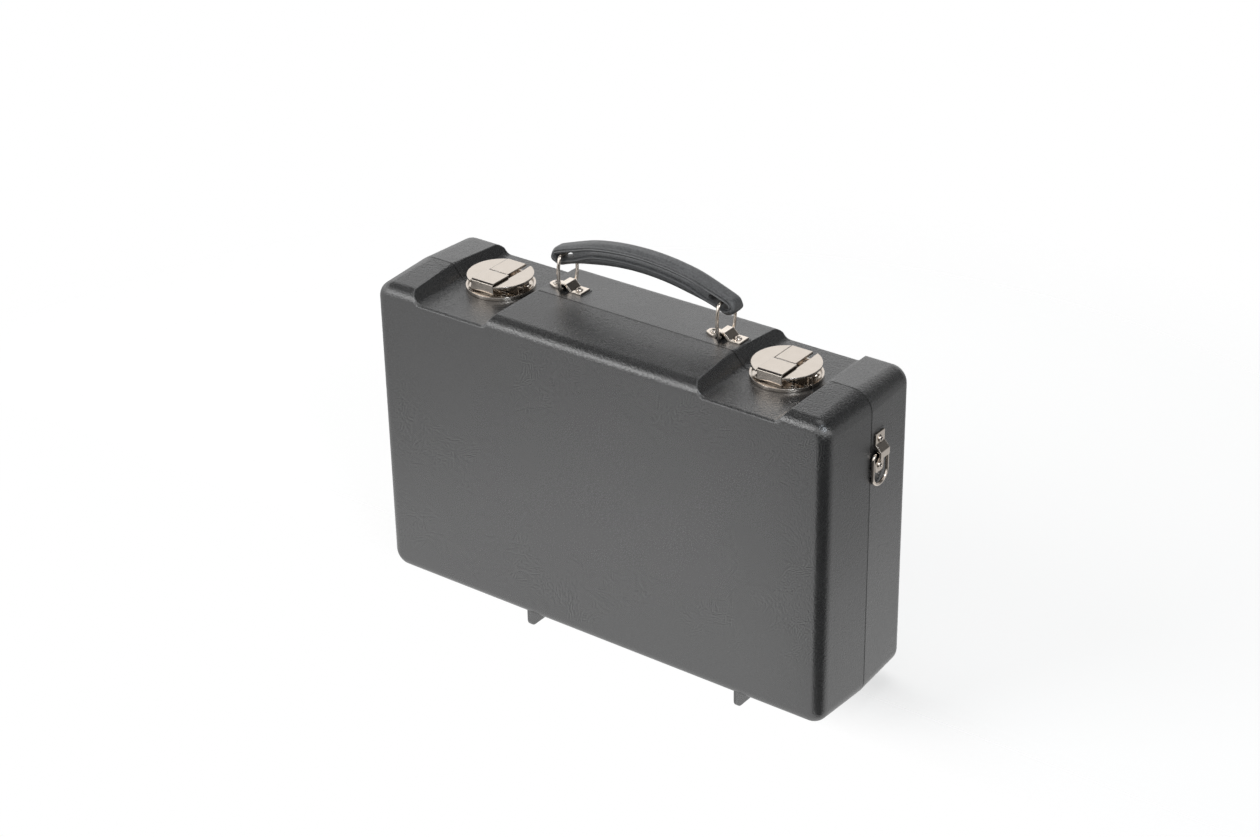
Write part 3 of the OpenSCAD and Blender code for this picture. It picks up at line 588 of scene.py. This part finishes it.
def relief(v, past_eye, inner):
    """Height of the surface over the plain side of the section at height v. past_eye is the distance
    along the arch beyond a slot's centre; inner is 1 along the middle and 0 round the slots."""
    above = v - CHANNEL_RISE * inner
    away = math.hypot(past_eye, above) - between(END_CHANNEL_R, CHANNEL_R, inner)
    crease_at = between(CREASE_LOW, CREASE_HIGH, smoothstep(-CREASE_TURN, CREASE_TURN, above))
    lip = LIP * math.exp(-((away - LIP_OUT) / LIP_W) ** 2)
    crease = CREASE * math.exp(-((away - crease_at) / CREASE_W) ** 2)
    return lip - crease - CHANNEL_DEPTH * smoothstep(0.0, CHANNEL_SLOPE, -away)


def padded_grip():
    """The handle's cover, in the place of its CAD solid."""
    low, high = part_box("handle_grip")
    middle_y = (low.y + high.y) / 2 / MM
    arch_r = (EYE_X ** 2 + GRIP_RISE ** 2) / (2 * GRIP_RISE)
    arch_z = high.z / MM - GRIP_H / 2 - arch_r
    eye_s = arch_r * math.asin(EYE_X / arch_r)
    neck_s = arch_r * math.asin((EYE_X - SLOT_L) / arch_r)
    parting_s = arch_r * math.asin(PARTING_X / arch_r)
    stations = grip_stations(eye_s)

    points, faces = [], []
    for s, share in stations:
        end = smoothstep(*SHOULDER, abs(s))
        inner = 1 - smoothstep(SHOULDER[0], neck_s, abs(s))
        half_h = between(GRIP_H / 2, END_R, end) * share
        half_w = between(GRIP_W, END_W, end) / 2 - TIP_NARROWS * (1 - share) ** 2
        radius = min(between(CORNER_R, END_CORNER_R, end), CORNER_SHARE * half_h)
        groove = PARTING * math.exp(-((s - parting_s) / PARTING_W) ** 2)
        past_eye = max(abs(s) - eye_s, 0.0)
        a = s / arch_r
        for y, v, ny, nv in rounded_section(half_w, half_h, radius):
            out = smoothstep(*SIDE_FACING, abs(ny)) * relief(v, past_eye, inner) - groove
            y, v = y + ny * out, v + nv * out
            points.append(Vector(((arch_r + v) * math.sin(a), middle_y + y,
                                  arch_z + (arch_r + v) * math.cos(a))) * MM)
    last = len(stations) - 1
    for i in range(last):
        for j in range(GRIP_SIDES):
            k = (j + 1) % GRIP_SIDES
            faces.append((i * GRIP_SIDES + j, (i + 1) * GRIP_SIDES + j,
                          (i + 1) * GRIP_SIDES + k, i * GRIP_SIDES + k))
    faces.append(tuple(range(GRIP_SIDES)))
    faces.append(tuple(last * GRIP_SIDES + j for j in reversed(range(GRIP_SIDES))))
    grip = new_piece("padded_grip", points, faces, COVER, "handle", "handle_grip")
    cut_slots(grip, arch_r, arch_z, middle_y)


def slot_outline(arch_r, arch_z):
    """Outline of the right slot in the X-Z plane, along the arch."""
    radius = SLOT_R - SLOT_LESS
    neck, eye = [(x, arch_z + math.sqrt(arch_r ** 2 - x ** 2)) for x in (EYE_X - SLOT_L, EYE_X)]
    slope = math.atan2(eye[1] - neck[1], SLOT_L)
    outline = []
    for (x, z), start in ((eye, slope + math.pi / 2), (neck, slope - math.pi / 2)):
        for i in range(SLOT_STEPS + 1):
            a = start - math.pi * i / SLOT_STEPS
            outline.append((x + radius * math.cos(a), z + radius * math.sin(a)))
    return outline


def cut_slots(grip, arch_r, arch_z, middle_y):
    """Cuts the slot through each end, a little narrower than the slot of the core behind it."""
    outline = slot_outline(arch_r, arch_z)
    count = len(outline)
    faces = [(i, (i + 1) % count, count + (i + 1) % count, count + i) for i in range(count)]
    faces += [tuple(reversed(range(count))), tuple(range(count, 2 * count))]
    for side in (-1, 1):
        points = [Vector((side * x, middle_y + y, z)) * MM for y in (-GRIP_W, GRIP_W) for x, z in outline]
        mesh = bpy.data.meshes.new("slot_cutter")
        mesh.from_pydata(points, [], faces if side > 0 else [face[::-1] for face in faces])
        cutter = link("slot_cutter", mesh)
        cut = grip.modifiers.new("slot", "BOOLEAN")
        cut.operation = "DIFFERENCE"
        cut.solver = "EXACT"
        cut.object = cutter
        result = applied(grip)
        grip.modifiers.clear()
        grip.data = result
        discard(cutter)
    smooth(grip)


padded_grip()


# ---------------------------------------------------------------- linings

LINING_VOXEL = 2.0         # size of the even faces
SOFTEN, SOFTEN_STEPS = 0.5, 3  # share and rounds of the softening


def cloth_lining(name, node, body):
    """A lining's CAD solid with even, softened faces, a little slack over the foam."""
    form = link(name + "_form", NODES[node].data.copy())
    weld(form)
    even = form.modifiers.new("even", "REMESH")
    even.mode = "VOXEL"
    even.voxel_size = LINING_VOXEL * MM
    soften = form.modifiers.new("soften", "SMOOTH")
    soften.factor = SOFTEN
    soften.iterations = SOFTEN_STEPS
    mesh = applied(form)
    discard(form)
    mesh.name = name
    mesh.materials.clear()
    mesh.materials.append(CLOTH)
    smooth_faces(mesh)
    piece = link(name, mesh)
    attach(piece, body)
    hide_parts(node)


cloth_lining("body_cloth", "body_lining", "case_body")
cloth_lining("lid_cloth", "lid_lining", "lid")


# ---------------------------------------------------------------- studio

# Flags that only reflections see, as (direction towards the flag, inner and outer angle in degrees,
# brightness inside). Outside a flag the brightness is 1. CEILING_LIGHT is an opening in the
# ceiling's flag: 1 less its number is added there. FLOOR_FLAG lies on the floor, in its direction
# from the front right corner of the case.
CEILING_FLAG = ((0.0, 0.0, 1.0), 50, 57, 0.05)
CEILING_LIGHT = ((0.0, 0.0, 1.0), 10, 26, 0.2)
BACK_FLAG = ((0.56, 0.71, 0.43), 14, 40, 0.08)
FLOOR_FLAG = ((0.62, -0.79, 0.0), 38, 80, 0.1)
# Ranges on the floor, as (from, to, value at first, value at last), in metres. The first two are the
# brightness in reflections: with the distance from the middle of the case, and along X past its end.
FLOOR_FAR = (0.25, 0.5, 0.86, 0.54)
FLOOR_RIGHT = (0.1, 0.4, 1.0, 0.62)
# How much of the room shows through the floor, along Y from under the lid to under the body, and
# with the distance from the middle of the case.
FLOOR_CLEAR = (-0.03, 0.03, 1.0, 0.65)
FLOOR_FADE = (0.3, 0.7, 0.0, 1.0)
FLOOR_HALF = 8.0           # half its size, in metres
FLOOR_COLOUR = (0.9, 0.9, 0.9, 1)
ROOM_LIGHT = 0.36          # brightness of the room on the object, where the camera sees 1
# Lamps as (name, place, size, power, seen in reflections, colour), in metres and watts.
WHITE, COOL = (1.0, 1.0, 1.0), (0.85, 0.92, 1.0)
LAMPS = [("key", (-1.2, -1.6, 1.6), 1.3, 22, False, WHITE),
         ("overhead", (-0.3, 0.5, 2.2), 1.6, 30, False, WHITE),
         ("corner", (1.25, -0.85, 1.35), 0.45, 6, True, COOL),
         ("low_front", (-1.1, -1.75, 0.65), 0.8, 4.1, True, WHITE)]
LAMP_TARGET = Vector((0.0, 0.0, 0.12))


class Stage(Graph):
    """Nodes of the floor and of the world."""

    def blend(self, share, first, second):
        return self.add("ShaderNodeMix", {0: share, 2: first, 3: second}).outputs[0]

    def shaders(self, share, first, second):
        inputs = {0: share, 1: first.outputs[0], 2: second.outputs[0]}
        return self.add("ShaderNodeMixShader", inputs)

    def flag(self, direction, toward, inner, outer, dark):
        """dark within the inner angle of toward, 1 beyond the outer angle."""
        facing = self.vector("DOT_PRODUCT", direction, Vector(toward).normalized())["Value"]
        low, high = math.cos(math.radians(outer)), math.cos(math.radians(inner))
        return self.remap(facing, low, high, 1.0, dark, curve="SMOOTHSTEP")


def floor_material():
    """Pale floor that keeps the object's soft shadow and is dark over its flag in reflections. It lets
    the white room show, most in front, so that the lid stays in sight where it opens below the feet."""
    material = bpy.data.materials.new("floor")
    material.use_nodes = True
    stage = Stage(material.node_tree)
    rays = stage.add("ShaderNodeLightPath").outputs
    place = stage.add("ShaderNodeTexCoord").outputs["Object"]
    along = stage.axes(place)
    distance = stage.vector("LENGTH", place)["Value"]
    from_corner = stage.vector("SUBTRACT", place, (cad_high.x, cad_low.y, 0.0))["Vector"]
    direction = stage.vector("NORMALIZE", from_corner)["Vector"]

    far = stage.remap(distance, *FLOOR_FAR)
    right_side = stage.remap(along["X"], *FLOOR_RIGHT)
    flag = stage.flag(direction, *FLOOR_FLAG)
    bright = stage.math("MULTIPLY", flag, stage.math("MULTIPLY", far, right_side))
    matt = stage.add("ShaderNodeBsdfDiffuse", {"Color": FLOOR_COLOUR})
    reflected = stage.add("ShaderNodeEmission", {"Strength": bright})
    solid = stage.shaders(rays["Is Glossy Ray"], matt, reflected)

    in_front = stage.remap(along["Y"], *FLOOR_CLEAR)
    seen = stage.math("MAXIMUM", in_front, stage.remap(distance, *FLOOR_FADE))
    see_through = stage.blend(rays["Is Camera Ray"], rays["Is Shadow Ray"], seen)
    surface = stage.shaders(see_through, solid, stage.add("ShaderNodeBsdfTransparent"))
    stage.add("ShaderNodeOutputMaterial", {"Surface": surface.outputs[0]})
    return material


def floor():
    """A plane under the feet of the ribs."""
    corners = [(x * FLOOR_HALF, y * FLOOR_HALF, 0) for x, y in ((-1, -1), (1, -1), (1, 1), (-1, 1))]
    mesh = bpy.data.meshes.new("floor")
    mesh.from_pydata(corners, [], [(0, 1, 2, 3)])
    plane = link("floor", mesh)
    mesh.materials.append(floor_material())


def world():
    """White to the camera, even and dim on the object, bright in reflections between the flags."""
    made = bpy.data.worlds.new("studio")
    bpy.context.scene.world = made
    made.use_nodes = True
    stage = Stage(made.node_tree)
    rays = stage.add("ShaderNodeLightPath").outputs
    direction = stage.add("ShaderNodeTexCoord").outputs["Generated"]
    ceiling = stage.math("ADD", stage.flag(direction, *CEILING_FLAG), 1.0)
    ceiling = stage.math("SUBTRACT", ceiling, stage.flag(direction, *CEILING_LIGHT))
    flagged = stage.math("MULTIPLY", ceiling, stage.flag(direction, *BACK_FLAG))
    on_object = stage.blend(rays["Is Glossy Ray"], ROOM_LIGHT, flagged)
    strength = stage.blend(rays["Is Camera Ray"], on_object, 1.0)
    background = stage.add("ShaderNodeBackground", {"Color": (1, 1, 1, 1), "Strength": strength})
    stage.add("ShaderNodeOutputWorld", {"Surface": background.outputs[0]})


def lamp(name, place, size, power, reflected, colour):
    """A square lamp that faces LAMP_TARGET."""
    data = bpy.data.lights.new(name, "AREA")
    data.shape = "SQUARE"
    data.size = size
    data.energy = power
    data.color = colour
    light = link(name, data)
    light.location = place
    light.rotation_euler = (LAMP_TARGET - Vector(place)).to_track_quat("-Z", "Y").to_euler()
    light.visible_glossy = reflected


floor()
world()
for values in LAMPS:
    lamp(*values)

bpy.context.scene.view_settings.view_transform = "Standard"


# ---------------------------------------------------------------- camera

CAMERA = Vector((884.4, -1193.4, 962.7)) * MM
TARGET = Vector((-3.35, -1.5, 155.16)) * MM
CAMERA_ROLL = math.radians(-1.04)
CAMERA_LENS = 75.93
SENSOR_W = 36.0


def photo_camera():
    """The camera of the photo, turned about its own axis by its roll."""
    forward = (TARGET - CAMERA).normalized()
    right = forward.cross(Vector((0, 0, 1))).normalized()
    upward = right.cross(forward)
    rolled_right = right * math.cos(CAMERA_ROLL) + upward * math.sin(CAMERA_ROLL)
    rolled_up = upward * math.cos(CAMERA_ROLL) - right * math.sin(CAMERA_ROLL)
    data = bpy.data.cameras.new("camera")
    data.lens = CAMERA_LENS
    data.sensor_width = SENSOR_W
    camera = link("camera", data)
    camera.matrix_world = Matrix((rolled_right, rolled_up, -forward)).transposed().to_4x4()
    camera.location = CAMERA
    bpy.context.scene.camera = camera


photo_camera()


# ---------------------------------------------------------------- end

bpy.context.view_layer.update()
